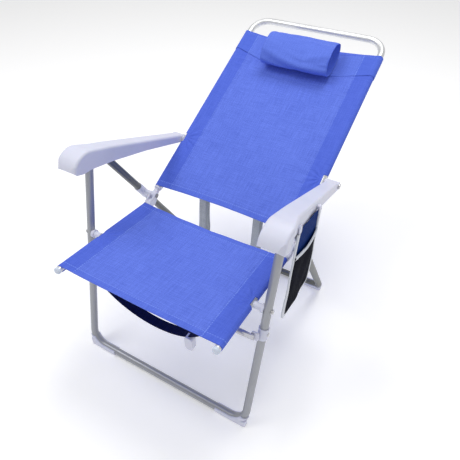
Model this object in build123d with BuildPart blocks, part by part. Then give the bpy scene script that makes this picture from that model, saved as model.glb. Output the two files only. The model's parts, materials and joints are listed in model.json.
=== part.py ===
from build123d import *
import math
import os

os.makedirs("parts", exist_ok=True)

# Reclining folding beach chair, tall seat, fabric slings on tube frames.
# X is left to right, the sitter faces -Y, Z is up, all sizes in mm.

Y_MID = 214.26  # moves the side view so that the chair's box is centred on Y = 0
LEG_R = 11.0  # front and rear leg tube
BACK_R = 11.0  # back frame tube
SEAT_R = 9.0  # seat side tube
BAR_R = 8.0  # crossbar under the seat
SEAT_X = 235.0  # half spacing of the seat and back tubes
LEG_X = 279.0  # half spacing of the leg tubes
CLOTH = 1.4  # sling cloth thickness
FLOOR_Z = 14.0  # height of the rails' centre lines

# side view points (Y, Z)
SEAT_FRONT = (-330.0, 432.0)
SEAT_REAR = (55.0, 392.0)
HINGE = (70.0, 409.0)
BACK_LOW = (97.0, 421.0)
BACK_TOP = (756.0, 757.0)
ARM_PIVOT = (268.0, 508.2)
SPACER = (-165.4, 415.0)
FRONT_FOOT = (-260.0, FLOOR_Z)
FRONT_TOP = (-111.0, 645.0)
REAR_FOOT = (327.0, FLOOR_Z)
REAR_TOP = (-69.0, 622.8)
CROSSBAR = (-207.0, 345.0)
ARM_ANGLE = 21.5  # rise of the armrest towards its nose, degrees


def at(x, p):
    """Point of the side view moved out to x."""
    return Vector(x, p[0] - Y_MID, p[1])


def side_dir(a, b):
    """Unit direction in the side view from a to b, as (y, z)."""
    length = math.hypot(b[0] - a[0], b[1] - a[1])
    return ((b[0] - a[0]) / length, (b[1] - a[1]) / length)


def rod(start, end, radius):
    """Round bar between two points."""
    length = (end - start).length
    with BuildPart() as bar:
        with BuildSketch(Plane(origin=start, z_dir=end - start)):
            Circle(radius)
        extrude(amount=length)
    return bar.part


def save(shape, name):
    shape.label = name
    export_step(shape, "parts/" + name + ".step")


SEAT_D = side_dir(SEAT_FRONT, SEAT_REAR)
SEAT_LEN = math.hypot(SEAT_REAR[0] - SEAT_FRONT[0], SEAT_REAR[1] - SEAT_FRONT[1])
BACK_D = side_dir(BACK_LOW, BACK_TOP)
BACK_LEN = math.hypot(BACK_TOP[0] - BACK_LOW[0], BACK_TOP[1] - BACK_LOW[1])
FRONT_D = side_dir(FRONT_FOOT, FRONT_TOP)
REAR_D = side_dir(REAR_FOOT, REAR_TOP)
ARM_U = (-math.cos(math.radians(ARM_ANGLE)), math.sin(math.radians(ARM_ANGLE)))


def seat_at(x, s, n):
    """Point over the seat: s along it from the front, n above the tube line."""
    y = SEAT_FRONT[0] + SEAT_D[0] * s - SEAT_D[1] * n
    z = SEAT_FRONT[1] + SEAT_D[1] * s + SEAT_D[0] * n
    return at(x, (y, z))


def back_at(x, s, n):
    """Point over the back: s up from the lower tube end, n in front of the tube line."""
    y = BACK_LOW[0] + BACK_D[0] * s - BACK_D[1] * n
    z = BACK_LOW[1] + BACK_D[1] * s + BACK_D[0] * n
    return at(x, (y, z))


def arm_at(x, u, v):
    """Point on an armrest: u forward from its pivot, v above the pivot line."""
    y = ARM_PIVOT[0] + ARM_U[0] * u + ARM_U[1] * v
    z = ARM_PIVOT[1] + ARM_U[1] * u - ARM_U[0] * v
    return at(x, (y, z))


# ---------------------------------------------------------------- tube frames
def u_frame(low, direction, half, height, bend, radius):
    """U frame of bent tube: both feet joined by a rail, arms up along direction."""
    plane = Plane(origin=at(0, low), x_dir=(1, 0, 0), z_dir=Vector(0, -direction[1], direction[0]) * -1)
    sign = plane.y_dir.Z / abs(plane.y_dir.Z)
    top = height * sign
    with BuildPart() as frame:
        with BuildLine(plane) as path:
            FilletPolyline((-half, top), (-half, 0), (half, 0), (half, top), radius=bend)
        with BuildSketch(Plane(origin=path.line @ 0, z_dir=path.line % 0)):
            Circle(radius)
        sweep()
    return frame.part


front_height = math.hypot(FRONT_TOP[0] - FRONT_FOOT[0], FRONT_TOP[1] - FRONT_FOOT[1])
front_frame = u_frame(FRONT_FOOT, FRONT_D, LEG_X, front_height, 48.0, LEG_R)
save(front_frame, "front_leg_frame")

rear_height = math.hypot(REAR_TOP[0] - REAR_FOOT[0], REAR_TOP[1] - REAR_FOOT[1])
rear_frame = u_frame(REAR_FOOT, REAR_D, LEG_X, rear_height, 48.0, LEG_R)
save(rear_frame, "rear_leg_frame")


def back_frame():
    """Inverted U: side tubes of the back and the top rail."""
    plane = Plane(origin=back_at(0, 0, 0), x_dir=(1, 0, 0), z_dir=Vector(0, BACK_D[1], -BACK_D[0]))
    sign = plane.y_dir.Z / abs(plane.y_dir.Z)
    high = BACK_LEN * sign
    low = -2.0 * sign
    pts = [(-SEAT_X, low), (-SEAT_X, high), (SEAT_X, high), (SEAT_X, low)]
    with BuildPart() as frame:
        with BuildLine(plane) as path:
            FilletPolyline(*pts, radius=58.0)
        with BuildSketch(Plane(origin=path.line @ 0, z_dir=path.line % 0)):
            Circle(BACK_R)
        sweep()
    return frame.part


save(back_frame(), "back_frame")

for side, sx in (("left", -1), ("right", 1)):
    seat_tube = rod(at(sx * SEAT_X, SEAT_FRONT), at(sx * SEAT_X, SEAT_REAR), SEAT_R)
    save(seat_tube, "seat_tube_" + side)


# ---------------------------------------------------------------- shoes
def shoe(low, direction, sx):
    """Plastic shoe clipped under a lower corner of a leg frame, open above."""
    plane = Plane(origin=at(0, low), x_dir=(1, 0, 0), z_dir=Vector(0, -direction[1], direction[0]) * -1)
    sign = plane.y_dir.Z / abs(plane.y_dir.Z)
    with BuildPart() as part:
        with BuildLine(plane) as path:
            FilletPolyline((sx * LEG_X, 66 * sign), (sx * LEG_X, 0), (sx * (LEG_X - 92), 0), radius=48.0)
        with BuildSketch(Plane(origin=path.line @ 0, z_dir=path.line % 0)):
            Circle(LEG_R + 3.0)
        sweep()
        with BuildSketch(Plane(origin=at(sx * (LEG_X - 42.0), (low[0], 0.0)), z_dir=(0, 0, 1))):
            RectangleRounded(96.0, 20.0, 6.0)
        extrude(amount=24.0)
        with BuildLine(plane) as bore:
            FilletPolyline((sx * LEG_X, 70 * sign), (sx * LEG_X, 0), (sx * (LEG_X - 96), 0), radius=48.0)
        with BuildSketch(Plane(origin=bore.line @ 0, z_dir=bore.line % 0)):
            Circle(LEG_R)
        sweep(path=bore.line, mode=Mode.SUBTRACT)
        near, far, top = sx * (LEG_X - 5.5), sx * (LEG_X - 120.0), 80.0 * sign
        with BuildSketch(plane):
            with BuildLine():
                FilletPolyline((near, top), (near, 5.5 * sign), (far, 5.5 * sign), radius=43.0)
                Polyline((far, 5.5 * sign), (far, top), (near, top))
            make_face()
            with Locations((sx * (LEG_X - 20.0), 56.0 * sign)):
                Rectangle(120.0, 60.0)
        extrude(amount=30.0, both=True, mode=Mode.SUBTRACT)
    return part.part


for side, sx in (("left", -1), ("right", 1)):
    save(shoe(FRONT_FOOT, FRONT_D, sx), "front_shoe_" + side)
    save(shoe(REAR_FOOT, REAR_D, sx), "rear_shoe_" + side)


# ---------------------------------------------------------------- leg tops
def leg_plug(top, direction, sx):
    """Domed plug on a leg's top end with the peg that sits under the armrest."""
    head = at(sx * LEG_X, top)
    along = Vector(0, direction[0], direction[1])
    low = head - along * 5.0
    with BuildPart() as plug:
        with BuildSketch(Plane(origin=head, z_dir=along)):
            Circle(LEG_R - 0.3)
        extrude(amount=3.0)
        fillet(plug.edges().group_by(Axis(head, along))[-1], radius=2.0)
        with BuildSketch(Plane(origin=at(sx * 256.0, top) - along * 5.0, z_dir=(sx, 0, 0))):
            Circle(3.0)
        extrude(amount=LEG_X - LEG_R - 256.0 + 0.6)
        with BuildSketch(Plane(origin=at(sx * 256.0, top) - along * 5.0, z_dir=(sx, 0, 0))):
            Circle(4.6)
        extrude(amount=2.0)
        with BuildSketch(Plane(origin=at(sx * 265.0, top) + along * 3.0, z_dir=along * -1)):
            Rectangle(7.0, 5.0)
        extrude(amount=8.0)
        with BuildSketch(Plane(origin=at(sx * 268.0, top) + along * 1.5, z_dir=along)):
            Rectangle(8.0, 5.0)
        extrude(amount=1.4)
    return plug.part


for side, sx in (("left", -1), ("right", 1)):
    save(leg_plug(FRONT_TOP, FRONT_D, sx), "front_plug_" + side)
    save(leg_plug(REAR_TOP, REAR_D, sx), "rear_plug_" + side)


# ---------------------------------------------------------------- crossbar
def crossbar():
    """Stretcher between the front legs with flattened ends."""
    with BuildPart() as bar:
        with BuildSketch(Plane(origin=at(-240.0, CROSSBAR), z_dir=(1, 0, 0))):
            Circle(BAR_R)
        extrude(amount=480.0)
        for sx in (-1, 1):
            with BuildSketch(Plane(origin=at(sx * 236.0, CROSSBAR), z_dir=(sx, 0, 0), x_dir=(0, 1, 0))):
                RectangleRounded(10.0, 20.0, 4.0)
            with BuildSketch(Plane(origin=at(sx * 266.0, CROSSBAR), z_dir=(sx, 0, 0), x_dir=(0, 1, 0))):
                RectangleRounded(4.0, 22.0, 1.9)
            loft()
    return bar.part


save(crossbar(), "front_crossbar")


def crossbar_bracket(sx):
    """Plastic saddle that holds the crossbar's end against the front leg."""
    along = Vector(0, FRONT_D[0], FRONT_D[1])
    centre = at(sx * LEG_X, (FRONT_FOOT[0] + (CROSSBAR[1] - FRONT_FOOT[1]) * FRONT_D[0] / FRONT_D[1], CROSSBAR[1]))
    with BuildPart() as bracket:
        with BuildSketch(Plane(origin=centre - along * 17.0, z_dir=along)):
            Circle(LEG_R + 2.5)
            Circle(LEG_R, mode=Mode.SUBTRACT)
        extrude(amount=34.0)
        with BuildSketch(Plane(origin=at(sx * 266.5, CROSSBAR) + Vector(0, 9.0, 0), z_dir=(0, -1, 0), x_dir=(1, 0, 0))):
            RectangleRounded(20.0, 30.0, 6.0)
        extrude(amount=5.0)
        with BuildSketch(Plane(origin=centre - along * 18.0, z_dir=along)):
            Circle(LEG_R)
        extrude(amount=36.0, mode=Mode.SUBTRACT)
    return bracket.part


for side, sx in (("left", -1), ("right", 1)):
    save(crossbar_bracket(sx), "crossbar_bracket_" + side)
    leg_y = FRONT_FOOT[0] + (CROSSBAR[1] - FRONT_FOOT[1]) * FRONT_D[0] / FRONT_D[1]
    with BuildPart() as rivet:
        with BuildSketch(Plane(origin=at(sx * 290.6, (leg_y, CROSSBAR[1])), z_dir=(sx, 0, 0))):
            Circle(5.5)
        extrude(amount=4.4)
        fillet(rivet.edges().group_by(Axis.X)[0 if sx < 0 else -1], radius=1.8)
    save(rivet.part, "crossbar_rivet_" + side)


# ---------------------------------------------------------------- seat pivots
for side, sx in (("left", -1), ("right", 1)):
    with BuildPart() as cap:
        with BuildSketch(Plane(origin=seat_at(sx * SEAT_X, 0, 0), z_dir=Vector(0, -SEAT_D[0], -SEAT_D[1]))):
            Circle(SEAT_R + 0.8)
        extrude(amount=8.0)
        fillet(cap.edges().sort_by(Axis.Y)[0:1], radius=4.5)
    save(cap.part, "seat_cap_" + side)

    with BuildPart() as spacer:
        with BuildSketch(Plane(origin=at(sx * (SEAT_X + SEAT_R - 2.0), SPACER), z_dir=(sx, 0, 0))):
            Circle(9.0)
        extrude(amount=LEG_X - LEG_R + 3.0 - (SEAT_X + SEAT_R - 2.0))
        with BuildSketch(Plane(origin=at(sx * (LEG_X - LEG_R - 5.0), SPACER), z_dir=(sx, 0, 0))):
            Circle(12.0)
        extrude(amount=8.0)
        with BuildSketch(Plane(origin=at(sx * SEAT_X, SEAT_FRONT), z_dir=Vector(0, SEAT_D[0], SEAT_D[1]))):
            Circle(SEAT_R)
        extrude(amount=SEAT_LEN, mode=Mode.SUBTRACT)
        with BuildSketch(Plane(origin=at(sx * LEG_X, FRONT_FOOT), z_dir=Vector(0, FRONT_D[0], FRONT_D[1]))):
            Circle(LEG_R)
        extrude(amount=front_height, mode=Mode.SUBTRACT)
    save(spacer.part, "seat_spacer_" + side)

    with BuildPart() as bolt:
        with BuildSketch(Plane(origin=at(sx * (LEG_X + LEG_R - 1.0), SPACER), z_dir=(sx, 0, 0))):
            Circle(7.5)
        extrude(amount=2.2)
        with BuildSketch(Plane(origin=at(sx * (LEG_X + LEG_R + 1.0), SPACER), z_dir=(sx, 0, 0))):
            Circle(5.5)
        extrude(amount=4.0)
        fillet(bolt.edges().group_by(Axis.X)[0 if sx < 0 else -1], radius=1.6)
        with BuildSketch(Plane(origin=at(sx * LEG_X, FRONT_FOOT), z_dir=Vector(0, FRONT_D[0], FRONT_D[1]))):
            Circle(LEG_R)
        extrude(amount=front_height, mode=Mode.SUBTRACT)
    save(bolt.part, "seat_pivot_bolt_" + side)


# ---------------------------------------------------------------- back hinges
PIN_R = 4.0
PIN_GAP = 0.05


def hinge_fork(sx):
    """Plastic socket on the seat tube's rear end with two ears round the hinge pin."""
    along = Vector(0, SEAT_D[0], SEAT_D[1])
    with BuildPart() as fork:
        with BuildSketch(Plane(origin=seat_at(sx * SEAT_X, SEAT_LEN - 26.0, 0), z_dir=along)):
            Circle(SEAT_R + 2.4)
        extrude(amount=30.0)
        for ear in (224.0, 241.0):
            with BuildSketch(Plane(origin=(sx * ear, 0, 0), z_dir=(sx, 0, 0), x_dir=(0, 1, 0))):
                with BuildLine():
                    low = (SEAT_REAR[0] - 18.0 - Y_MID, SEAT_REAR[1] - 6.0)
                    far = (SEAT_REAR[0] + 4.0 - Y_MID, SEAT_REAR[1] - 10.0)
                    tip = (HINGE[0] + 10.5 - Y_MID, HINGE[1] - 2.0)
                    high = (HINGE[0] - 7.0 - Y_MID, HINGE[1] + 8.0)
                    rear = (SEAT_REAR[0] - 18.0 - Y_MID, SEAT_REAR[1] + 10.0)
                    if sx < 0:
                        Polyline((low[0], -low[1]), (far[0], -far[1]), (tip[0], -tip[1]),
                                 (high[0], -high[1]), (rear[0], -rear[1]), close=True)
                    else:
                        Polyline(low, far, tip, high, rear, close=True)
                make_face()
                with Locations((HINGE[0] - Y_MID, HINGE[1] * sx)):
                    Circle(10.5)
            extrude(amount=5.0)
        with BuildSketch(Plane(origin=at(sx * SEAT_X, SEAT_FRONT), z_dir=along)):
            Circle(SEAT_R)
        extrude(amount=SEAT_LEN, mode=Mode.SUBTRACT)
        with BuildSketch(Plane(origin=at(sx * 229.0, (HINGE[0], HINGE[1])), z_dir=(sx, 0, 0))):
            Circle(13.0)
        extrude(amount=12.0, mode=Mode.SUBTRACT)
        with BuildSketch(Plane(origin=at(sx * 220.0, HINGE), z_dir=(sx, 0, 0))):
            Circle(PIN_R)
        extrude(amount=30.0, mode=Mode.SUBTRACT)
    return fork.part


def back_socket(sx):
    """Plastic collar on the back tube's lower end with the tongue of the hinge."""
    along = Vector(0, BACK_D[0], BACK_D[1])
    with BuildPart() as socket:
        with BuildSketch(Plane(origin=back_at(sx * SEAT_X, -5.0, 0), z_dir=along)):
            Circle(BACK_R + 1.2)
        extrude(amount=4.0)
        with BuildSketch(Plane(origin=back_at(sx * SEAT_X, -5.0, 0), z_dir=along * -1, x_dir=(1, 0, 0))):
            Rectangle(11.0, 17.0)
        extrude(amount=24.0)
        with BuildSketch(Plane(origin=at(sx * (SEAT_X - 5.5), HINGE), z_dir=(sx, 0, 0))):
            Circle(10.0)
        extrude(amount=11.0)
        with BuildSketch(Plane(origin=back_at(sx * SEAT_X, -2.0, 0), z_dir=along)):
            Circle(BACK_R)
        extrude(amount=40.0, mode=Mode.SUBTRACT)
        with BuildSketch(Plane(origin=at(sx * 220.0, HINGE), z_dir=(sx, 0, 0))):
            Circle(PIN_R + PIN_GAP)
        extrude(amount=30.0, mode=Mode.SUBTRACT)
    return socket.part


for side, sx in (("left", -1), ("right", 1)):
    save(hinge_fork(sx), "hinge_fork_" + side)
    save(back_socket(sx), "back_socket_" + side)

    with BuildPart() as pin:
        with BuildSketch(Plane(origin=at(sx * 221.5, HINGE), z_dir=(sx, 0, 0))):
            Circle(6.5)
        extrude(amount=2.4)
        with BuildSketch(Plane(origin=at(sx * 222.0, HINGE), z_dir=(sx, 0, 0))):
            Circle(PIN_R)
        extrude(amount=47.0)
    save(pin.part, "hinge_pin_" + side)

    with BuildPart() as spacer:
        with BuildSketch(Plane(origin=at(sx * 246.1, HINGE), z_dir=(sx, 0, 0))):
            Circle(9.0)
        extrude(amount=25.0)
        with BuildSketch(Plane(origin=at(sx * LEG_X, REAR_FOOT), z_dir=Vector(0, REAR_D[0], REAR_D[1]))):
            Circle(LEG_R)
        extrude(amount=rear_height, mode=Mode.SUBTRACT)
        with BuildSketch(Plane(origin=at(sx * 220.0, HINGE), z_dir=(sx, 0, 0))):
            Circle(PIN_R)
        extrude(amount=60.0, mode=Mode.SUBTRACT)
    save(spacer.part, "hinge_spacer_" + side)

    rear_up = Vector(0, REAR_D[0], REAR_D[1])
    with BuildPart() as sleeve:
        with BuildSketch(Plane(origin=at(sx * LEG_X, HINGE) - rear_up * 26.0, z_dir=rear_up)):
            Circle(LEG_R + 2.2)
            Circle(LEG_R, mode=Mode.SUBTRACT)
        extrude(amount=60.0)
        with BuildSketch(Plane(origin=at(sx * 246.1, HINGE), z_dir=(sx, 0, 0))):
            Circle(9.0)
        extrude(amount=25.0, mode=Mode.SUBTRACT)
    save(sleeve.part, "rear_sleeve_" + side)

    with BuildPart() as nut:
        with BuildSketch(Plane(origin=at(sx * (LEG_X + LEG_R + 2.2), HINGE), z_dir=(sx, 0, 0))):
            Circle(6.0)
        extrude(amount=3.5)
        fillet(nut.edges().group_by(Axis.X)[0 if sx < 0 else -1], radius=1.4)
    save(nut.part, "hinge_nut_" + side)


# ---------------------------------------------------------------- slings
def sling(point, along, length_from, length_to, tube_r, sag, notch, dip_low, dip_high, extra):
    """Cloth sling with a sleeve round each side tube; both ends free and hollowed a little."""
    outer = tube_r + CLOTH + extra
    inner = tube_r + extra
    start = point(0, length_from, 0)
    with BuildPart() as cloth:
        with BuildSketch(Plane(origin=start, x_dir=(-1, 0, 0), z_dir=along)):
            with BuildLine():
                ThreePointArc((-SEAT_X, outer), (0, outer - sag), (SEAT_X, outer))
                Line((SEAT_X, outer), (SEAT_X, inner))
                ThreePointArc((SEAT_X, inner), (0, inner - sag), (-SEAT_X, inner))
                Line((-SEAT_X, inner), (-SEAT_X, outer))
            make_face()
            with Locations((-SEAT_X, 0), (SEAT_X, 0)):
                Circle(outer)
            with Locations((-SEAT_X, 0), (SEAT_X, 0)):
                Circle(inner, mode=Mode.SUBTRACT)
        extrude(amount=length_to - length_from)
        flat = Plane(origin=start, x_dir=(-1, 0, 0), z_dir=Vector(0, along.Z, -along.Y))
        grow = 1.0 if (flat.y_dir - along).length < 0.1 else -1.0
        span = length_to - length_from
        with BuildSketch(flat):
            with BuildLine():
                ThreePointArc((-SEAT_X + 14, -2 * grow), (0, dip_low * grow), (SEAT_X - 14, -2 * grow))
                Line((SEAT_X - 14, -2 * grow), (-SEAT_X + 14, -2 * grow))
            make_face()
            with BuildLine():
                ThreePointArc((-SEAT_X + 14, (span + 2) * grow), (0, (span - dip_high) * grow),
                              (SEAT_X - 14, (span + 2) * grow))
                Line((SEAT_X - 14, (span + 2) * grow), (-SEAT_X + 14, (span + 2) * grow))
            make_face()
        extrude(amount=60.0, both=True, mode=Mode.SUBTRACT)
        if notch:
            for sx in (-1, 1):
                with BuildSketch(Plane(origin=at(sx * (SEAT_X + 3.0), notch[0]), z_dir=(sx, 0, 0))):
                    Circle(notch[1])
                extrude(amount=40.0, mode=Mode.SUBTRACT)
    return cloth.part


SEAT_V = Vector(0, SEAT_D[0], SEAT_D[1])
BACK_V = Vector(0, BACK_D[0], BACK_D[1])
seat_cloth = sling(seat_at, SEAT_V, 12.0, SEAT_LEN - 28.0, SEAT_R, 5.0, (SPACER, 17.0), 1.0, 5.0, 0.0)
save(seat_cloth, "seat_sling")
back_cloth = sling(back_at, BACK_V, 2.0, 668.0, BACK_R, 8.0, (ARM_PIVOT, 19.0), 9.0, 10.0, 0.0)
save(back_cloth, "back_sling")


def pillow_band():
    """Second cloth layer over the top of the back that carries the headrest."""
    layer = sling(back_at, BACK_V, 550.0, 674.0, BACK_R, 8.0, None, 0.0, 0.0, CLOTH)
    pts = [(-260, 586), (-120, 554), (120, 554), (260, 586), (260, 670), (120, 644), (-120, 644), (-260, 670)]
    with BuildPart() as band:
        add(layer)
        plane = Plane(origin=back_at(0, 0, 0), x_dir=(-1, 0, 0), z_dir=Vector(0, BACK_V.Z, -BACK_V.Y))
        grow = 1.0 if (plane.y_dir - BACK_V).length < 0.1 else -1.0
        with BuildSketch(plane):
            with BuildLine():
                Polyline(*[(x, s * grow) for x, s in pts], close=True)
            make_face()
        extrude(amount=80.0, both=True, mode=Mode.INTERSECT)
    return band.part


save(pillow_band(), "pillow_band")


def pillow():
    """Stuffed headrest roll, oval in section."""
    middle = back_at(-118.0, 588.0, 45.0)
    with BuildPart() as roll:
        with BuildSketch(Plane(origin=middle, x_dir=BACK_V, z_dir=(1, 0, 0))):
            Ellipse(64.0, 37.0)
        extrude(amount=236.0)
        fillet(roll.edges(), radius=6.0)
    return roll.part


save(pillow(), "pillow")


# ---------------------------------------------------------------- armrests
def arm_outline(shrink, sx):
    """Plan of an armrest as (u, x) points, pulled in by shrink."""
    inner = 249.0 + shrink
    pts = [(-13.0 + shrink, inner), (476.0 - shrink, inner), (481.0 - shrink, inner + 16.0)]
    pts += [(481.0 - shrink, 298.0), (472.0 - shrink, 313.0 - shrink), (440.0, 313.0 - shrink)]
    pts += [(385.0, 300.0 - shrink), (200.0, 293.5 - shrink), (-13.0 + shrink, 286.0 - shrink)]
    return [(u, sx * x) for u, x in pts]


def armrest(sx):
    """Moulded armrest: inverted channel with a deep rounded nose and a pivot eye behind."""
    side_plane = Plane(origin=at(sx * 240.0, ARM_PIVOT), x_dir=Vector(0, ARM_U[0], ARM_U[1]), z_dir=(sx, 0, 0))
    up = -1.0 if side_plane.y_dir.Z < 0 else 1.0
    top_plane = Plane(origin=arm_at(0, 0, -90.0), x_dir=Vector(0, ARM_U[0], ARM_U[1]),
                      z_dir=Vector(0, ARM_U[1], -ARM_U[0]))
    across = 1.0 if top_plane.y_dir.X > 0 else -1.0
    with BuildPart() as arm:
        with BuildSketch(side_plane):
            with BuildLine():
                Polyline((0, 11.5 * up), (350, 11.5 * up), (425, 8.5 * up))
                Spline((425, 8.5 * up), (458, -3 * up), (475, -24 * up), (480, -46 * up))
                Polyline((480, -46 * up), (470, -52 * up), (446, -51 * up), (422, -43 * up), (339, -31 * up),
                         (195, -19 * up), (20, -12.5 * up), (0, -12.5 * up), (0, 11.5 * up))
            make_face()
            Circle(12.5)
        extrude(amount=90.0)
        with BuildSketch(top_plane):
            with BuildLine():
                Polyline(*[(u, x * across) for u, x in arm_outline(0.0, sx)], close=True)
            make_face()
        extrude(amount=140.0, mode=Mode.INTERSECT)
        soft = []
        for edge in arm.edges():
            mid = edge @ 0.5
            dy = mid.Y + Y_MID - ARM_PIVOT[0]
            dz = mid.Z - ARM_PIVOT[1]
            u = dy * ARM_U[0] + dz * ARM_U[1]
            v = dy * ARM_U[1] - dz * ARM_U[0]
            long_enough = edge.length > 20.0 and abs((edge % 0.5).X) < 0.3
            if long_enough and (v > 5.0 or (u > 430.0 and v > -40.0)):
                soft.append(edge)
        fillet(soft, radius=7.0)
    return arm, side_plane, up, top_plane, across


def armrest_solid(sx):
    arm, side_plane, up, top_plane, across = armrest(sx)
    with BuildPart() as hollow:
        with BuildSketch(side_plane):
            with BuildLine():
                Polyline((150, 6 * up), (350, 8 * up), (423, 5.5 * up))
                Spline((423, 5.5 * up), (455, -5.5 * up), (471.5, -25 * up), (476.5, -46 * up))
                Polyline((476.5, -46 * up), (476.5, -90 * up), (150, -90 * up), (150, 6 * up))
            make_face()
        extrude(amount=90.0)
        with BuildSketch(top_plane):
            with BuildLine():
                Polyline(*[(u, x * across) for u, x in arm_outline(2.4, sx)], close=True)
            make_face()
        extrude(amount=140.0, mode=Mode.INTERSECT)
    with BuildPart() as shell:
        add(arm.part)
        add(hollow.part, mode=Mode.SUBTRACT)
        with BuildSketch(Plane(origin=at(sx * 230.0, ARM_PIVOT), z_dir=(sx, 0, 0))):
            Circle(PIN_R + PIN_GAP)
        extrude(amount=80.0, mode=Mode.SUBTRACT)
    return shell.part


def notch_rail(sx):
    """Notched rail under the armrest's roof where the leg pegs lock."""
    plane = Plane(origin=at(sx * 252.2, ARM_PIVOT), x_dir=Vector(0, ARM_U[0], ARM_U[1]), z_dir=(sx, 0, 0))
    up = -1.0 if plane.y_dir.Z < 0 else 1.0
    with BuildPart() as rail:
        with BuildSketch(plane):
            with BuildLine():
                Polyline((240, 6.6 * up), (350, 8.0 * up), (420, 5.6 * up), (420, 0.5 * up), (240, 0.5 * up),
                         (240, 6.6 * up))
            make_face()
            for i in range(6):
                with Locations((262.0 + 28.0 * i, 0.5 * up)):
                    Circle(4.2, mode=Mode.SUBTRACT)
        extrude(amount=11.0)
    return rail.part


for side, sx in (("left", -1), ("right", 1)):
    save(armrest_solid(sx), "armrest_" + side)
    save(notch_rail(sx), "notch_rail_" + side)

    with BuildPart() as bolt:
        with BuildSketch(Plane(origin=at(sx * (SEAT_X + BACK_R - 1.0), ARM_PIVOT), z_dir=(sx, 0, 0))):
            Circle(PIN_R)
        extrude(amount=287.6 - (SEAT_X + BACK_R - 1.0))
        with BuildSketch(Plane(origin=at(sx * 287.4, ARM_PIVOT), z_dir=(sx, 0, 0))):
            Circle(8.0)
        extrude(amount=4.5)
        fillet(bolt.edges().group_by(Axis.X)[0 if sx < 0 else -1], radius=2.0)
        with BuildSketch(Plane(origin=back_at(sx * SEAT_X, 0, 0), z_dir=BACK_V)):
            Circle(BACK_R)
        extrude(amount=400.0, mode=Mode.SUBTRACT)
    save(bolt.part, "arm_bolt_" + side)

    with BuildPart() as washer:
        with BuildSketch(Plane(origin=at(sx * (SEAT_X + BACK_R - 2.0), ARM_PIVOT), z_dir=(sx, 0, 0))):
            Circle(10.0)
            Circle(PIN_R, mode=Mode.SUBTRACT)
        extrude(amount=248.7 - (SEAT_X + BACK_R - 2.0))
        with BuildSketch(Plane(origin=back_at(sx * SEAT_X, 0, 0), z_dir=BACK_V)):
            Circle(BACK_R)
        extrude(amount=400.0, mode=Mode.SUBTRACT)
    save(washer.part, "arm_washer_" + side)


# ---------------------------------------------------------------- pouch
POUCH_X = 300.0
POUCH = [(-84.0, 612.0), (58.0, 584.0), (38.0, 345.0), (-122.0, 350.0)]
POCKET = [(-97.0, 548.0), (50.0, 520.0), (36.0, 348.0), (-119.0, 352.0)]


def side_prism(x0, thick, pts):
    """Flat panel in the side plane."""
    with BuildPart() as prism:
        with BuildSketch(Plane(origin=(x0, 0, 0), x_dir=(0, 1, 0), z_dir=(1, 0, 0))):
            with BuildLine():
                Polyline(*[(y - Y_MID, z) for y, z in pts], close=True)
            make_face()
        extrude(amount=thick)
    return prism.part


save(side_prism(POUCH_X, 1.5, POUCH), "pouch_panel")


def pocket():
    """Outer pocket of the pouch: open at the top, closed at sides and bottom."""
    mid = [sum(p[0] for p in POCKET) / 4, sum(p[1] for p in POCKET) / 4]
    inner = [(mid[0] + (y - mid[0]) * 0.94, mid[1] + (z - mid[1]) * 0.96) for y, z in POCKET]
    inner[0] = (inner[0][0], POCKET[0][1] + 30.0)
    inner[1] = (inner[1][0], POCKET[1][1] + 30.0)
    body = side_prism(POUCH_X + 1.5, 8.5, POCKET)
    space = side_prism(POUCH_X + 1.5, 7.1, inner)
    with BuildPart() as bag:
        add(body)
        add(space, mode=Mode.SUBTRACT)
    return bag.part


save(pocket(), "pouch_pocket")


def binding():
    """Light binding tape round the front, bottom and rear edges of the pouch."""
    outer = [(POUCH[0][0] - 4, POUCH[0][1] + 1), POUCH[0], POUCH[3], POUCH[2], POUCH[1]]
    outer = outer + [(POUCH[1][0] + 4, POUCH[1][1]), (POUCH[2][0] + 4, POUCH[2][1] - 4)]
    outer = outer + [(POUCH[3][0] - 4, POUCH[3][1] - 4)]
    return side_prism(POUCH_X - 0.6, 2.7, outer)


save(binding(), "pouch_binding")

for name, u, v, width in (("pouch_clip_front", 363.0, -27.0, 15.0), ("pouch_clip_rear", 226.0, -12.0, 15.0)):
    centre = arm_at(0, u, v)
    outer_x = 300.0 - 2.0 if name.endswith("front") else 294.2
    with BuildPart() as clip:
        with BuildSketch(Plane(origin=(POUCH_X + 1.5, centre.Y, centre.Z), x_dir=(0, 1, 0), z_dir=(1, 0, 0))):
            RectangleRounded(width, 22.0, 5.0)
        extrude(amount=2.6)
        with BuildSketch(Plane(origin=(outer_x, centre.Y, centre.Z + 9.0), x_dir=(0, 1, 0), z_dir=(1, 0, 0))):
            RectangleRounded(width - 3.0, 10.0, 3.0)
        extrude(amount=POUCH_X + 2.5 - outer_x)
    save(clip.part, name)


# ---------------------------------------------------------------- straps
def strap(plane, pts, width, thick, across):
    """Flat webbing swept along a smooth plane curve."""
    with BuildPart() as web:
        with BuildLine(plane) as path:
            Spline(*pts)
        with BuildSketch(Plane(origin=path.line @ 0, x_dir=across, z_dir=path.line % 0)):
            Rectangle(width, thick)
        sweep()
    return web.part


carry_plane = Plane(origin=(0, -250.0 - Y_MID, 0), x_dir=(1, 0, 0), z_dir=(0, -1, 0))
CARRY = [(-196, 417.5), (-168, 352), (-95, 297), (5, 277), (95, 299), (160, 356), (186, 417.5)]
save(strap(carry_plane, CARRY, 28.0, 2.4, (0, 1, 0)), "carry_strap")

with BuildPart() as slider:
    with BuildSketch(Plane(origin=(112.0, -252.0 - Y_MID, 283.0), x_dir=(1, 0, 0), z_dir=(0, -1, 0))):
        RectangleRounded(24.0, 50.0, 9.0)
    extrude(amount=18.0)
    fillet(slider.edges().group_by(Axis.Y)[0], radius=1.5)
save(slider.part, "strap_slider")

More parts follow.
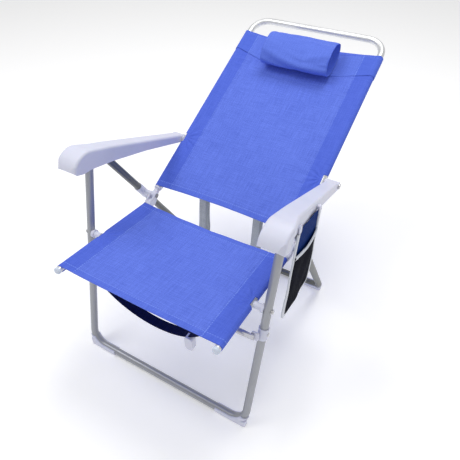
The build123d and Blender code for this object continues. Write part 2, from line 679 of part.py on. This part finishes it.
HARNESS = [(150, 449.5), (142, 370), (135, 290), (138, 240), (150, 228), (161, 242), (165, 300), (170, 380), (180, 438)]
HARNESS = HARNESS + [(205, 469), (250, 496), (300, 522), (400, 573.5), (462, 608.5)]
for side, x in (("left", -100.0), ("right", 92.0)):
    plane = Plane(origin=(x, -Y_MID, 0), x_dir=(0, 1, 0), z_dir=(1, 0, 0))
    save(strap(plane, HARNESS, 22.0, 3.0, (1, 0, 0)), "shoulder_strap_" + side)
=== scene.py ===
import json
import math
import bmesh
import bpy
import numpy as np
from mathutils import Matrix, Vector


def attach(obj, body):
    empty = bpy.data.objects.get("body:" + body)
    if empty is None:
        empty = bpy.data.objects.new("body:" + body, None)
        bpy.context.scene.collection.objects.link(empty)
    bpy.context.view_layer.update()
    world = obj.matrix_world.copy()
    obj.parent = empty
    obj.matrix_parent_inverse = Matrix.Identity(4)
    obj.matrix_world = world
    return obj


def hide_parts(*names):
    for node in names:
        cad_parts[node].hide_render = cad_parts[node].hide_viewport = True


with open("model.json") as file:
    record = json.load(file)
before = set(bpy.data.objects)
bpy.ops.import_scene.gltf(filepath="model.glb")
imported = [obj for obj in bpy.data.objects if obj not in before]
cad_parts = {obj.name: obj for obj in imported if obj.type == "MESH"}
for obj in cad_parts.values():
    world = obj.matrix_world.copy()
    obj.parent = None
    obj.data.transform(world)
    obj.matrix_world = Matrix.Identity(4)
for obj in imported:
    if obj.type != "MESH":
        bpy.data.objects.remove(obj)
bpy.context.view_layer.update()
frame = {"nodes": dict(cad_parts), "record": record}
nodes = frame["nodes"]

# ---------------------------------------------------------------- the chair's side view, metres
Y0 = 0.21426
SEAT_X = 0.235
TURN = math.radians(250)  # how far a sling's sleeve wraps round its tube
SEAT_P = np.array([-0.330 - Y0, 0.432])
SEAT_E = np.array([0.055 - Y0, 0.392])
BACK_P = np.array([0.097 - Y0, 0.421])
BACK_E = np.array([0.756 - Y0, 0.757])
ARM = np.array([0.268 - Y0, 0.5082])
SPACER = np.array([-0.1654 - Y0, 0.415])


def line(p, e):
    d = e - p
    length = float(np.hypot(*d))
    return p, d / length, length


SEAT = line(SEAT_P, SEAT_E)
BACK = line(BACK_P, BACK_E)


# ---------------------------------------------------------------- materials
def new_mat(name):
    m = bpy.data.materials.new(name)
    m.use_nodes = True
    t = m.node_tree
    t.nodes.clear()
    out = t.nodes.new("ShaderNodeOutputMaterial")
    b = t.nodes.new("ShaderNodeBsdfPrincipled")
    t.links.new(b.outputs[0], out.inputs[0])
    return m, t, b


def node(t, kind, **kw):
    n = t.nodes.new(kind)
    for k, v in kw.items():
        if k in n.inputs:
            n.inputs[k].default_value = v
        else:
            setattr(n, k, v)
    return n


def ramp(t, fac, stops):
    r = t.nodes.new("ShaderNodeValToRGB")
    while len(r.color_ramp.elements) < len(stops):
        r.color_ramp.elements.new(0.5)
    for e, (p, c) in zip(r.color_ramp.elements, stops):
        e.position = p
        e.color = (*c, 1) if len(c) == 3 else (c[0], c[0], c[0], 1)
    t.links.new(fac, r.inputs[0])
    return r


def woven(name, light, dark, thread=0.0016, rough=0.72, depth=0.3, slub=0.3, sheen=0.1, spec=0.3):
    """Woven cloth: crossed threads, slubs both ways, darker doubled cloth at hems, painted shade inside the pillow's
    tucked-in ends, sewing thread.
    """
    m, t, b = new_mat(name)
    co = node(t, "ShaderNodeTexCoord")
    src = co.outputs["UV"]
    waves = []
    for direction in ("X", "Y"):
        w = node(t, "ShaderNodeTexWave", wave_type="BANDS", bands_direction=direction, wave_profile="SIN")
        w.inputs["Scale"].default_value = 0.314 / thread
        w.inputs["Distortion"].default_value = 0.6
        w.inputs["Detail"].default_value = 1.0
        t.links.new(src, w.inputs["Vector"])
        waves.append(w)
    mul = node(t, "ShaderNodeMath", operation="MULTIPLY")
    t.links.new(waves[0].outputs["Fac"], mul.inputs[0])
    t.links.new(waves[1].outputs["Fac"], mul.inputs[1])
    mp = node(t, "ShaderNodeMapping")
    mp.inputs["Scale"].default_value = (16.0, 330.0, 1.0)
    t.links.new(src, mp.inputs["Vector"])
    slubs = node(t, "ShaderNodeTexNoise", Scale=1.0, Detail=5.0, Roughness=0.7)
    t.links.new(mp.outputs[0], slubs.inputs["Vector"])
    mp2 = node(t, "ShaderNodeMapping")
    mp2.inputs["Scale"].default_value = (300.0, 14.0, 1.0)
    t.links.new(src, mp2.inputs["Vector"])
    warp = node(t, "ShaderNodeTexNoise", Scale=1.0, Detail=5.0, Roughness=0.7)
    t.links.new(mp2.outputs[0], warp.inputs["Vector"])
    big = node(t, "ShaderNodeTexNoise", Scale=6.0, Detail=3.0, Roughness=0.55)
    t.links.new(src, big.inputs["Vector"])
    a1 = node(t, "ShaderNodeMath", operation="ADD")
    t.links.new(slubs.outputs["Fac"], a1.inputs[0])
    t.links.new(warp.outputs["Fac"], a1.inputs[1])
    a2 = node(t, "ShaderNodeMath", operation="MULTIPLY_ADD")
    t.links.new(a1.outputs[0], a2.inputs[0])
    a2.inputs[1].default_value = slub * 4
    t.links.new(mul.outputs[0], a2.inputs[2])
    a3 = node(t, "ShaderNodeMath", operation="MULTIPLY_ADD")
    t.links.new(big.outputs["Fac"], a3.inputs[0])
    a3.inputs[1].default_value = 0.35
    t.links.new(a2.outputs[0], a3.inputs[2])
    span = node(t, "ShaderNodeMapRange")
    t.links.new(a3.outputs[0], span.inputs["Value"])
    span.inputs["From Min"].default_value = 0.45 + 4 * slub * 0.66
    span.inputs["From Max"].default_value = 0.45 + 4 * slub * 1.34
    col = ramp(t, span.outputs[0], [(0.0, dark), (1.0, light)])
    # hem mix: darker doubled cloth at the sling's hems, and painted shade inside the pillow's tucked-in ends
    hem_and_recess_shade = node(t, "ShaderNodeAttribute", attribute_name="hem_and_recess_shade")
    mixc = node(t, "ShaderNodeMix", data_type="RGBA")
    t.links.new(hem_and_recess_shade.outputs["Fac"], mixc.inputs["Factor"])
    t.links.new(col.outputs[0], mixc.inputs[6])
    mixc.inputs[7].default_value = (dark[0] * 0.45, dark[1] * 0.60, dark[2] * 0.95, 1)
    sewn = node(t, "ShaderNodeAttribute", attribute_name="thread")
    mixt = node(t, "ShaderNodeMix", data_type="RGBA")
    t.links.new(sewn.outputs["Fac"], mixt.inputs["Factor"])
    t.links.new(mixc.outputs[2], mixt.inputs[6])
    mixt.inputs[7].default_value = (*(min(1, c * k) for c, k in zip(light, (1.9, 1.8, 1.12))), 1)
    t.links.new(mixt.outputs[2], b.inputs["Base Color"])
    bump = node(t, "ShaderNodeBump", Strength=depth, Distance=0.0006)
    t.links.new(a2.outputs[0], bump.inputs["Height"])
    t.links.new(bump.outputs[0], b.inputs["Normal"])
    b.inputs["Roughness"].default_value = rough
    b.inputs["Sheen Weight"].default_value = sheen
    b.inputs["Sheen Roughness"].default_value = 0.5
    b.inputs["Specular IOR Level"].default_value = spec
    return m


def plastic(name, base, rough=0.42, grain=900.0):
    """Moulded plastic with a fine spark grain, unevenly dulled by handling."""
    m, t, b = new_mat(name)
    co = node(t, "ShaderNodeTexCoord")
    fine = node(t, "ShaderNodeTexNoise", Scale=grain, Detail=2.0)
    t.links.new(co.outputs["Object"], fine.inputs["Vector"])
    big = node(t, "ShaderNodeTexNoise", Scale=14.0, Detail=5.0, Roughness=0.65)
    t.links.new(co.outputs["Object"], big.inputs["Vector"])
    col = ramp(t, big.outputs["Fac"], [(0.3, tuple(c * 0.94 for c in base)), (0.7, base)])
    t.links.new(col.outputs[0], b.inputs["Base Color"])
    r = node(t, "ShaderNodeMapRange")
    t.links.new(big.outputs["Fac"], r.inputs["Value"])
    r.inputs["To Min"].default_value = rough - 0.08
    r.inputs["To Max"].default_value = rough + 0.12
    t.links.new(r.outputs[0], b.inputs["Roughness"])
    bump = node(t, "ShaderNodeBump", Strength=0.12, Distance=0.0003)
    t.links.new(fine.outputs["Fac"], bump.inputs["Height"])
    t.links.new(bump.outputs[0], b.inputs["Normal"])
    b.inputs["Subsurface Weight"].default_value = 0.03
    return m


def metal(name, base, rough, streak=(40.0, 40.0, 900.0), metallic=1.0):
    """Anodised or drawn metal: fine draw lines, slight dulling and small scratches."""
    m, t, b = new_mat(name)
    co = node(t, "ShaderNodeTexCoord")
    mp = node(t, "ShaderNodeMapping")
    mp.inputs["Scale"].default_value = streak
    t.links.new(co.outputs["Object"], mp.inputs["Vector"])
    lines = node(t, "ShaderNodeTexNoise", Scale=1.0, Detail=4.0, Roughness=0.7)
    t.links.new(mp.outputs[0], lines.inputs["Vector"])
    dull = node(t, "ShaderNodeTexNoise", Scale=9.0, Detail=4.0, Roughness=0.6)
    t.links.new(co.outputs["Object"], dull.inputs["Vector"])
    col = ramp(t, dull.outputs["Fac"], [(0.3, tuple(c * 0.88 for c in base)), (0.72, base)])
    t.links.new(col.outputs[0], b.inputs["Base Color"])
    add = node(t, "ShaderNodeMath", operation="ADD")
    t.links.new(lines.outputs["Fac"], add.inputs[0])
    t.links.new(dull.outputs["Fac"], add.inputs[1])
    r = node(t, "ShaderNodeMapRange")
    t.links.new(add.outputs[0], r.inputs["Value"])
    r.inputs["From Min"].default_value = 0.6
    r.inputs["From Max"].default_value = 1.4
    r.inputs["To Min"].default_value = rough - 0.07
    r.inputs["To Max"].default_value = rough + 0.1
    t.links.new(r.outputs[0], b.inputs["Roughness"])
    bump = node(t, "ShaderNodeBump", Strength=0.06, Distance=0.0002)
    t.links.new(lines.outputs["Fac"], bump.inputs["Height"])
    t.links.new(bump.outputs[0], b.inputs["Normal"])
    b.inputs["Metallic"].default_value = metallic
    return m


M = {
    "sling": woven("sling_cloth", (0.155, 0.240, 0.84), (0.075, 0.128, 0.58), sheen=0.03, spec=0.15),
    "pillow": woven("pillow_cloth", (0.150, 0.235, 0.82), (0.085, 0.145, 0.60), rough=0.8, slub=0.2, sheen=0.03,
                    spec=0.15),
    "navy": woven("navy_webbing", (0.012, 0.018, 0.090), (0.003, 0.005, 0.030), depth=0.5, sheen=0.0,
                  spec=0.05),
    "pouch": woven("pouch_cloth", (0.005, 0.040, 0.23), (0.001, 0.012, 0.090), sheen=0.0, spec=0.05),
    "mesh": woven("pocket_cloth", (0.005, 0.006, 0.018), (0.0005, 0.0007, 0.004), depth=0.5, sheen=0.0,
                  spec=0.03),
    "tape": woven("binding_tape", (0.80, 0.82, 0.88), (0.60, 0.63, 0.71), depth=0.5),
    "web": woven("grey_webbing", (0.56, 0.59, 0.62), (0.36, 0.39, 0.42), depth=0.6),
    "white": plastic("white_plastic", (0.66, 0.67, 0.80)),
    "cap": plastic("grey_plastic", (0.60, 0.66, 0.78), rough=0.38),
    "alu": metal("bright_tube", (0.80, 0.81, 0.82), 0.36, metallic=0.75),
    "front": metal("satin_tube", (0.37, 0.38, 0.41), 0.36, metallic=0.45),
    "rail": metal("rail_tube", (0.60, 0.60, 0.64), 0.36, metallic=0.6),
    # rear legs: the tube is darkened to dark olive as painted shade, the colour it shows in the shade behind the
    # seat
    "dark": metal("shaded_leg_tube", (0.20, 0.205, 0.19), 0.40, metallic=0.85),
    "chrome": metal("hinge_steel", (0.34, 0.34, 0.35), 0.22, streak=(300.0, 300.0, 300.0)),
    "steel": metal("bolt_steel", (0.66, 0.66, 0.68), 0.30, streak=(500.0, 500.0, 500.0)),
}
SLOT = {"sling_cloth": "sling", "pillow_cloth": "pillow", "navy_cloth": "navy", "pouch_blue": "pouch",
        "grey_webbing": "tape", "white_plastic": "white", "grey_plastic": "cap", "steel": "steel", "alu_tube": "alu"}
# nodes that look different from the rest of their slot, by how their names start; the rear legs' dark tone is
# painted shade
OWN = {"rear_leg_frame": "dark", "front_crossbar": "rail", "front_leg_frame": "front", "shoulder_strap": "web",
       "hinge_pin": "chrome", "arm_washer": "white", "pouch_pocket": "mesh"}
for part in frame["record"]["subparts"]:
    o = nodes[part["node"]]
    o.data.materials.clear()
    starts = [key for start, key in OWN.items() if part["node"].startswith(start)]
    key = starts[0] if starts else SLOT[part["material_slot"]]
    o.data.materials.append(M[key])
    o.data.polygons.foreach_set("use_smooth", [True] * len(o.data.polygons))
    o.data.set_sharp_from_angle(angle=math.radians(35))


def box_uv(o):
    """Side-projected UVs in metres for a CAD node's cloth pattern."""
    me = o.data
    uv = me.uv_layers.new(name="UVMap") if not me.uv_layers else me.uv_layers[0]
    for poly in me.polygons:
        n = poly.normal
        for li in poly.loop_indices:
            c = me.vertices[me.loops[li].vertex_index].co
            if abs(n.x) > 0.7:
                uv.data[li].uv = (c.y, c.z)
            else:
                uv.data[li].uv = (c.x, c.y + c.z)


for name in ("carry_strap", "shoulder_strap_left", "shoulder_strap_right", "pouch_panel", "pouch_pocket",
             "pouch_binding"):
    box_uv(nodes[name])


# ---------------------------------------------------------------- cloth meshes
def grid_object(name, pts, uvs, mat, keep=None, hem_and_recess_shade=None, thick=0.0, thread=None):
    """Mesh from a grid of points (rows, columns, 3) with UVs in metres; keep drops faces."""
    rows, cols = pts.shape[:2]
    index = np.arange(rows * cols).reshape(rows, cols)
    faces = []
    for i in range(rows - 1):
        for j in range(cols - 1):
            if keep is None or keep[i, j] and keep[i + 1, j] and keep[i, j + 1] and keep[i + 1, j + 1]:
                faces.append((index[i, j], index[i, j + 1], index[i + 1, j + 1], index[i + 1, j]))
    me = bpy.data.meshes.new(name)
    corners = [tuple(map(float, p)) for p in pts.reshape(-1, 3)]
    me.from_pydata(corners, [], [tuple(map(int, f)) for f in faces])
    uv = me.uv_layers.new(name="UVMap")
    flat = uvs.reshape(-1, 2)
    for loop in me.loops:
        uv.data[loop.index].uv = flat[loop.vertex_index]
    for kind, values in (("hem_and_recess_shade", hem_and_recess_shade), ("thread", thread)):
        if values is not None:
            a = me.attributes.new(kind, "FLOAT", "POINT")
            a.data.foreach_set("value", values.reshape(-1).astype(np.float32))
    me.materials.append(mat)
    o = bpy.data.objects.new(name, me)
    bpy.context.scene.collection.objects.link(o)
    used = set(v for f in faces for v in f)
    if len(used) < rows * cols:
        bm = bmesh.new()
        bm.from_mesh(me)
        bmesh.ops.delete(bm, geom=[v for v in bm.verts if not v.link_faces], context="VERTS")
        bm.to_mesh(me)
        bm.free()
    me.polygons.foreach_set("use_smooth", [True] * len(me.polygons))
    if thick:
        bpy.context.view_layer.objects.active = o
        mod = o.modifiers.new("thick", "SOLIDIFY")
        mod.thickness = thick
        mod.offset = 0.0
        bpy.ops.object.select_all(action="DESELECT")
        o.select_set(True)
        bpy.ops.object.modifier_apply(modifier="thick")
    return o


def wave_noise(u, v, n, lo, hi, seed):
    """Smooth seeded ripple field in -1..1."""
    r = np.random.default_rng(seed)
    total = np.zeros_like(u)
    for _ in range(n):
        a = r.uniform(0, math.tau)
        k = math.tau / r.uniform(lo, hi)
        total += np.sin((u * math.cos(a) + v * math.sin(a)) * k + r.uniform(0, math.tau))
    return total / math.sqrt(n)


def sling_surface(name, base, s0, s1, tube, sag, notch, notch_r, dip0, dip1, seed, lift=0.0, edge=None,
                  mat=None):
    """A cloth sling stretched between two side tubes, wrapped round each in a sewn sleeve."""
    mid = tube + 0.0007 + lift
    turn = TURN
    wrap = mid * turn
    flat = 2 * SEAT_X
    total = flat + 2 * wrap
    cols = 420
    rows = int(640 * (s1 - s0))
    w = np.linspace(0, total, cols)
    knots = np.sort(np.concatenate([w, [wrap - 0.0005, wrap, total - wrap, total - wrap + 0.0005]]))
    s = np.linspace(0, 1, rows)
    W, T = np.meshgrid(knots, s)
    side = np.where(W < total / 2, -1.0, 1.0)
    a = np.where(side < 0, W, total - W)
    in_sleeve = a < wrap
    ang = math.pi / 2 + (1 - np.clip(a / wrap, 0, 1)) * turn
    X = np.where(in_sleeve, SEAT_X - np.cos(ang) * mid, SEAT_X - (a - wrap))
    N = np.where(in_sleeve, np.sin(ang) * mid, mid)
    bow = 1 - np.clip(X / SEAT_X, -1, 1) ** 2
    X = X * side
    flat_x = np.clip(np.abs(X), 0, SEAT_X)
    curve0 = dip0 * np.clip(1 - (flat_x / (SEAT_X - 0.014)) ** 2, 0, 1)
    curve1 = dip1 * np.clip(1 - (flat_x / (SEAT_X - 0.014)) ** 2, 0, 1)
    S = (s0 + curve0) + T * ((s1 - curve1) - (s0 + curve0))
    N = N - np.where(in_sleeve, 0.0, sag * bow)
    seam = 0.047
    soft = np.clip((a - wrap) / 0.03, 0, 1)
    N = N + soft * 0.0006 * wave_noise(X, S, 9, 0.05, 0.22, seed)
    N = N - 0.0008 * np.exp(-((a - wrap - seam) / 0.0016) ** 2)
    if notch is not None:
        ns = float(np.dot(notch - base[0], base[1]))
        near = np.hypot(S - ns, np.clip(a - wrap, 0, None) * 0.9)
        fan = np.sin(np.arctan2(S - ns, np.clip(a - wrap, 0.002, None)) * 12 + seed) * np.exp(-near / 0.05)
        N = N + np.clip((a - wrap) / 0.012, 0, 1) * 0.0026 * fan * (1 - np.exp(-near / 0.02))
    hem_and_recess_shade = 0.42 * ((a - wrap) < seam)
    dash = ((S / 0.0065) % 1.0) < 0.62
    thread = dash * (np.abs(a - wrap - seam + 0.0025) < 0.0012) * 0.42
    across = ((X / 0.0065) % 1.0) < 0.62
    for t_edge in (T * (s1 - s0), (1 - T) * (s1 - s0)):
        hem_and_recess_shade = np.maximum(hem_and_recess_shade, 0.22 * (t_edge < 0.020))
        thread = np.maximum(thread, across * (np.abs(t_edge - 0.018) < 0.0010) * 0.28)
        N = N - 0.0007 * np.exp(-((t_edge - 0.020) / 0.0016) ** 2)
    pucker = np.sin(S * 210 + 1.7 * np.sin(S * 37 + seed)) * np.exp(-np.abs(a - wrap - seam * 0.5) / 0.02)
    N = N + soft * 0.00045 * pucker
    keep = np.ones_like(X, bool)
    if notch is not None:
        outside = np.abs(X) > SEAT_X + 0.003
        keep = ~(outside & (np.hypot(S - ns, N) < notch_r))
    if edge is not None:
        lo, hi = edge(np.abs(X))
        keep &= (S > lo) & (S < hi)
    p, d, _ = base
    pts = np.stack([X, p[0] + d[0] * S - d[1] * N, p[1] + d[1] * S + d[0] * N], -1)
    uvs = np.stack([W, S], -1)
    return grid_object(name, pts, uvs, mat or M["sling"], keep, hem_and_recess_shade, 0.0013, thread)


SEAT_S0, SEAT_S1, SEAT_TUBE = 0.006, SEAT[2] - 0.028, 0.009
BACK_S0, BACK_S1, BACK_TUBE = 0.002, 0.668, 0.011
BAND_LIFT = 0.0016
seat = sling_surface("seat_cloth", SEAT, SEAT_S0, SEAT_S1, SEAT_TUBE, 0.005, SPACER, 0.017, 0.001, 0.005, 3)
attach(seat, "base")
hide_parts("seat_sling")
back = sling_surface("back_cloth", BACK, BACK_S0, BACK_S1, BACK_TUBE, 0.008, ARM, 0.019, 0.009, 0.010, 5)
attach(back, "back")
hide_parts("back_sling")


def band_edge(x):
    t = np.clip((x - 0.12) / 0.115, 0, 1)
    return 0.554 + 0.032 * t, 0.644 + 0.026 * t


band = sling_surface("band_cloth", BACK, 0.547, 0.676, BACK_TUBE, 0.008, None, 0, 0.0, 0.0, 8, lift=BAND_LIFT,
                     edge=band_edge, mat=M["pillow"])
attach(band, "back")
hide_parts("pillow_band")


# ---------------------------------------------------------------- pillow
def make_pillow():
    """Headrest roll: a stuffed cloth tube, open ends tucked in with painted shade inside them, part settled by a
    cloth simulation.
    """
    around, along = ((72, 64))
    a, b, half = 0.063, 0.0365, 0.117
    mid_n = 0.0455
    theta = np.linspace(0, math.tau, around, endpoint=False)
    xs = np.linspace(-half, half, along)
    rings = []
    for x in xs:
        end = np.clip((abs(x) - (half - 0.010)) / 0.010, 0, 1)
        rings.append((x, 1 - 0.05 * end ** 2))
    left, right = [], []
    for depth, size in ((0.0035, 0.93), (0.012, 0.88), (0.020, 0.76), (0.017, 0.60), (0.021, 0.42), (0.018, 0.15)):
        left.append((-half + depth, size))
        right.append((half - depth, size))
    rings = left[::-1] + rings + right
    verts, pin, uvs, recess_shade = [], [], [], []
    lead = len(left)
    for k, (x, size) in enumerate(rings):
        wob = 0.0010 * math.sin(x * 61 + 1.3) + 0.0007 * math.sin(x * 143)
        for i, t in enumerate(theta):
            e = 2.05
            c, sn = math.cos(t), math.sin(t)
            cs = math.copysign(abs(c) ** (2 / e), c) * a * size
            sv = math.copysign(abs(sn) ** (2 / e), sn) * b * size + wob
            verts.append((x, cs, sv))
            inner = k < lead or k >= lead + along
            pin.append(1.0 if (sn < -0.35 or inner) else 0.0)
            # the tucked-in inner rings get painted shade
            recess_shade.append(0.0 if not inner else 0.55)
            uvs.append((x, t * 0.052))
    faces = []
    n = len(rings)
    for k in range(n - 1):
        for i in range(around):
            j = (i + 1) % around
            faces.append((k * around + i, k * around + j, (k + 1) * around + j, (k + 1) * around + i))
    faces.append(tuple(range(around))[::-1])
    faces.append(tuple((n - 1) * around + i for i in range(around)))
    me = bpy.data.meshes.new("pillow_cloth")
    me.from_pydata(verts, [], faces)
    uv = me.uv_layers.new(name="UVMap")
    for loop in me.loops:
        uv.data[loop.index].uv = uvs[loop.vertex_index]
    # painted shade for the tucked-in ends, mixed in by the cloth material's hem attribute
    dark = me.attributes.new("hem_and_recess_shade", "FLOAT", "POINT")
    dark.data.foreach_set("value", np.array(recess_shade, np.float32))
    o = bpy.data.objects.new("pillow_roll", me)
    bpy.context.scene.collection.objects.link(o)
    me.polygons.foreach_set("use_smooth", [True] * len(me.polygons))
    me.materials.append(M["pillow"])
    bpy.context.view_layer.objects.active = o
    bpy.ops.object.select_all(action="DESELECT")
    o.select_set(True)
    g = o.vertex_groups.new(name="pin")
    for i, w in enumerate(pin):
        if w:
            g.add([i], w, "REPLACE")
    cloth = o.modifiers.new("cloth", "CLOTH")
    cs = cloth.settings
    cs.quality = 6
    cs.mass = 0.2
    cs.tension_stiffness = 15
    cs.compression_stiffness = 6
    cs.shear_stiffness = 4
    cs.bending_stiffness = 4.0
    cs.vertex_group_mass = "pin"
    cs.shrink_min = -0.004
    cs.use_pressure = True
    cs.uniform_pressure_force = 1.6
    cs.air_damping = 6.0
    cs.effector_weights.gravity = 0.12
    cloth.point_cache.frame_start = 1
    cloth.point_cache.frame_end = 26
    scene = bpy.context.scene
    for f in range(1, 27):
        scene.frame_set(f)
    bpy.ops.object.modifier_apply(modifier="cloth")
    scene.frame_set(1)
    co = 0.4 * np.array([q.co for q in o.data.vertices]) + 0.6 * np.array(verts)
    co[:, 0] = np.clip(co[:, 0], -0.119, 0.119)
    co[:, 1] = co[:, 1] * (0.066 / max(0.066, np.abs(co[:, 1]).max()))
    up = co[:, 2] > 0
    co[up, 2] *= 0.0385 / max(0.0385, co[up, 2].max())
    nn = co[:, 2] + mid_n
    ss = co[:, 1] + 0.588
    q, d, _ = BACK
    out = np.stack([co[:, 0], q[0] + d[0] * ss - d[1] * nn, q[1] + d[1] * ss + d[0] * nn], -1)
    o.data.vertices.foreach_set("co", out.reshape(-1))
    mod = o.modifiers.new("sub", "SUBSURF")
    mod.levels = 1
    mod.render_levels = 1
    bpy.ops.object.modifier_apply(modifier="sub")
    return o


roll = make_pillow()
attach(roll, "back")
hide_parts("pillow")


# ---------------------------------------------------------------- pouch
def quad(corners, u, v):
    """Point inside a four-sided panel: u front to rear, v top to bottom."""
    a, b, c, d = (np.array(k) for k in corners)
    u, v = u[..., None], v[..., None]
    return a * (1 - u) * (1 - v) + b * u * (1 - v) + c * u * v + d * (1 - u) * v


def mm(y, z):
    return (y / 1000 - Y0, z / 1000)


PANEL = [mm(-84, 612), mm(58, 584), mm(38, 345), mm(-122, 350)]
POCKET = [mm(-97, 540), mm(50, 524), mm(37, 348), mm(-120, 353)]


def sway(yz):
    """How far the hanging pouch leans and ripples outward at a point."""
    y, z = yz[..., 0], yz[..., 1]
    low = np.clip((0.60 - z) / 0.25, 0, 1)
    return 0.0012 * low * np.sin(y * 46 + z * 21 + 0.6) + 0.0008 * low * np.sin(y * 95 - z * 33)


def ripple_edge(yz, amount):
    yz = yz.copy()
    yz[..., 0] += amount * np.sin(yz[..., 1] * 74 + 0.5)
    yz[..., 1] += amount * np.sin(yz[..., 0] * 88)
    return yz


def panel(name, corners, x, bulge, scoop, mat):
    u, v = np.meshgrid(np.linspace(0, 1, 60), np.linspace(0, 1, 80))
    top = scoop * np.sin(u * math.pi) * (1 - v) ** 2
    yz = ripple_edge(quad(corners, u, np.clip(v + top, 0, 1)), 0.0010)
    down = np.clip(np.sin(np.clip(v * 0.95 + 0.18, 0, 1) * math.pi), 0, 1)
    puff = np.clip(np.sin(u * math.pi), 0, 1) ** 0.6 * (0.35 + 0.65 * down)
    X = x + sway(yz) + bulge * puff * (1 + 0.18 * np.sin(u * 9 + v * 5) + 0.10 * np.sin(v * 17 - u * 6))
    pts = np.stack([X, yz[..., 0], yz[..., 1]], -1)
    return grid_object(name, pts, np.stack([yz[..., 0], yz[..., 1]], -1), mat, thick=0.0010)


def tape(name, path, x, width, mat):
    """Binding tape sewn over an edge: a folded ribbon along a path in the side plane."""
    path = np.array(path)
    seg = np.hypot(*(path[1:] - path[:-1]).T)
    total = np.concatenate([[0], np.cumsum(seg)])
    n = int(total[-1] / 0.0025)
    t = np.linspace(0, total[-1], n)
    c = np.stack([np.interp(t, total, path[:, k]) for k in (0, 1)], -1)
    k = np.ones(9) / 9
    pad = np.concatenate([np.repeat(c[:1], 4, 0), c, np.repeat(c[-1:], 4, 0)])
    c = np.stack([np.convolve(pad[:, i], k, "valid") for i in (0, 1)], -1)
    c = ripple_edge(c, 0.0010)
    d = np.gradient(c, axis=0)
    d /= np.maximum(np.hypot(*d.T), 1e-9)[:, None]
    nrm = np.stack([-d[:, 1], d[:, 0]], -1)
    prof = [(-0.5, 0.0), (-0.5, 1.0), (-0.3, 1.25), (0.0, 1.35), (0.3, 1.25), (0.5, 1.0), (0.5, 0.0)]
    prof += [(0.0, -0.2), (-0.5, 0.0)]
    rows = []
    for a, h in prof:
        w = width * (1 + 0.06 * np.sin(t * 190))
        yz = c + nrm * (a * w)[:, None]
        X = x + sway(yz) + h * 0.0030
        rows.append(np.stack([X, yz[:, 0], yz[:, 1]], -1))
    pts = np.stack(rows, 0)
    uu = np.tile(t, (len(prof), 1))
    vv = np.tile(np.array([a * width for a, _ in prof])[:, None], (1, n))
    return grid_object(name, pts, np.stack([uu, vv], -1), mat)


pouch_back = panel("pouch_back", PANEL, 0.3007, 0.0, 0.0, M["pouch"])
pocket_front = panel("pocket_front", POCKET, 0.3030, 0.0062, 0.05, M["mesh"])
edge = [PANEL[0], PANEL[3], PANEL[2], PANEL[1]]
edge_tape = tape("pouch_tape", edge, 0.3007, 0.0125, M["tape"])
u = np.linspace(0, 1, 30)
lip = quad(POCKET, u, 0.05 * np.sin(u * math.pi))
lip_tape = tape("pocket_tape", lip, 0.3028, 0.0095, M["tape"])
co = np.array([q.co for q in lip_tape.data.vertices])
frac = np.clip((co[:, 1] - lip[0][0]) / (lip[-1][0] - lip[0][0]), 0, 1)
co[:, 0] += 0.0045 * np.sin(frac * math.pi) ** 0.6
lip_tape.data.vertices.foreach_set("co", co.reshape(-1))
for o, slot_name in ((pouch_back, "pouch_blue"), (pocket_front, "navy_cloth"), (edge_tape, "grey_webbing"),
                     (lip_tape, "grey_webbing")):
    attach(o, "arm_right")
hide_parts("pouch_panel")
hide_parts("pouch_pocket")
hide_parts("pouch_binding")


# ---------------------------------------------------------------- stage, light and camera
def plain(name, colour, rough, glow=0.0):
    m, t, b = new_mat(name)
    b.inputs["Emission Color"].default_value = (1, 1, 1, 1)
    b.inputs["Emission Strength"].default_value = glow
    b.inputs["Base Color"].default_value = (*colour, 1)
    b.inputs["Roughness"].default_value = rough
    return m


bpy.ops.mesh.primitive_plane_add(size=30, location=(0, 0, -0.0005))
floor = bpy.context.object
floor.name = "floor"
floor.data.materials.append(plain("floor_white", (0.97, 0.97, 0.975), 0.9, 0.16))

world = bpy.data.worlds.new("studio")
bpy.context.scene.world = world
world.use_nodes = True
world.node_tree.nodes["Background"].inputs[0].default_value = (1.0, 1.0, 1.0, 1)
world.node_tree.nodes["Background"].inputs[1].default_value = 0.56


def light(name, where, at, size, power, colour=(1, 1, 1)):
    d = bpy.data.lights.new(name, "AREA")
    d.shape = "DISK"
    d.size = size
    d.energy = power
    d.color = colour
    o = bpy.data.objects.new(name, d)
    bpy.context.scene.collection.objects.link(o)
    o.location = where
    o.rotation_euler = (Vector(at) - Vector(where)).to_track_quat("-Z", "Y").to_euler()


light("key", (-1.5, -1.0, 3.4), (0, 0, 0.4), 1.5, 34)
light("fill", (2.6, -1.2, 2.2), (0, 0, 0.4), 2.4, 4)
light("top", (0.2, 0.9, 3.6), (0, 0.1, 0.4), 1.6, 44)

cam_data = bpy.data.cameras.new("camera")
cam = bpy.data.objects.new("camera", cam_data)
bpy.context.scene.collection.objects.link(cam)
eye = Vector((0.52984, -0.80699 - Y0, 1.28281))
aim = Vector((0.06706, 0.00864 - Y0, 0.45242))
turned = (aim - eye).to_track_quat("-Z", "Y").to_matrix().to_4x4()
cam.matrix_world = Matrix.Translation(eye) @ turned @ Matrix.Rotation(math.radians(0.34), 4, "Z")
cam_data.sensor_width = 36.0
cam_data.lens = 35.5
cam_data.shift_x = 0.0061
cam_data.shift_y = -0.0057
bpy.context.scene.camera = cam
bpy.context.scene.view_settings.view_transform = "Standard"
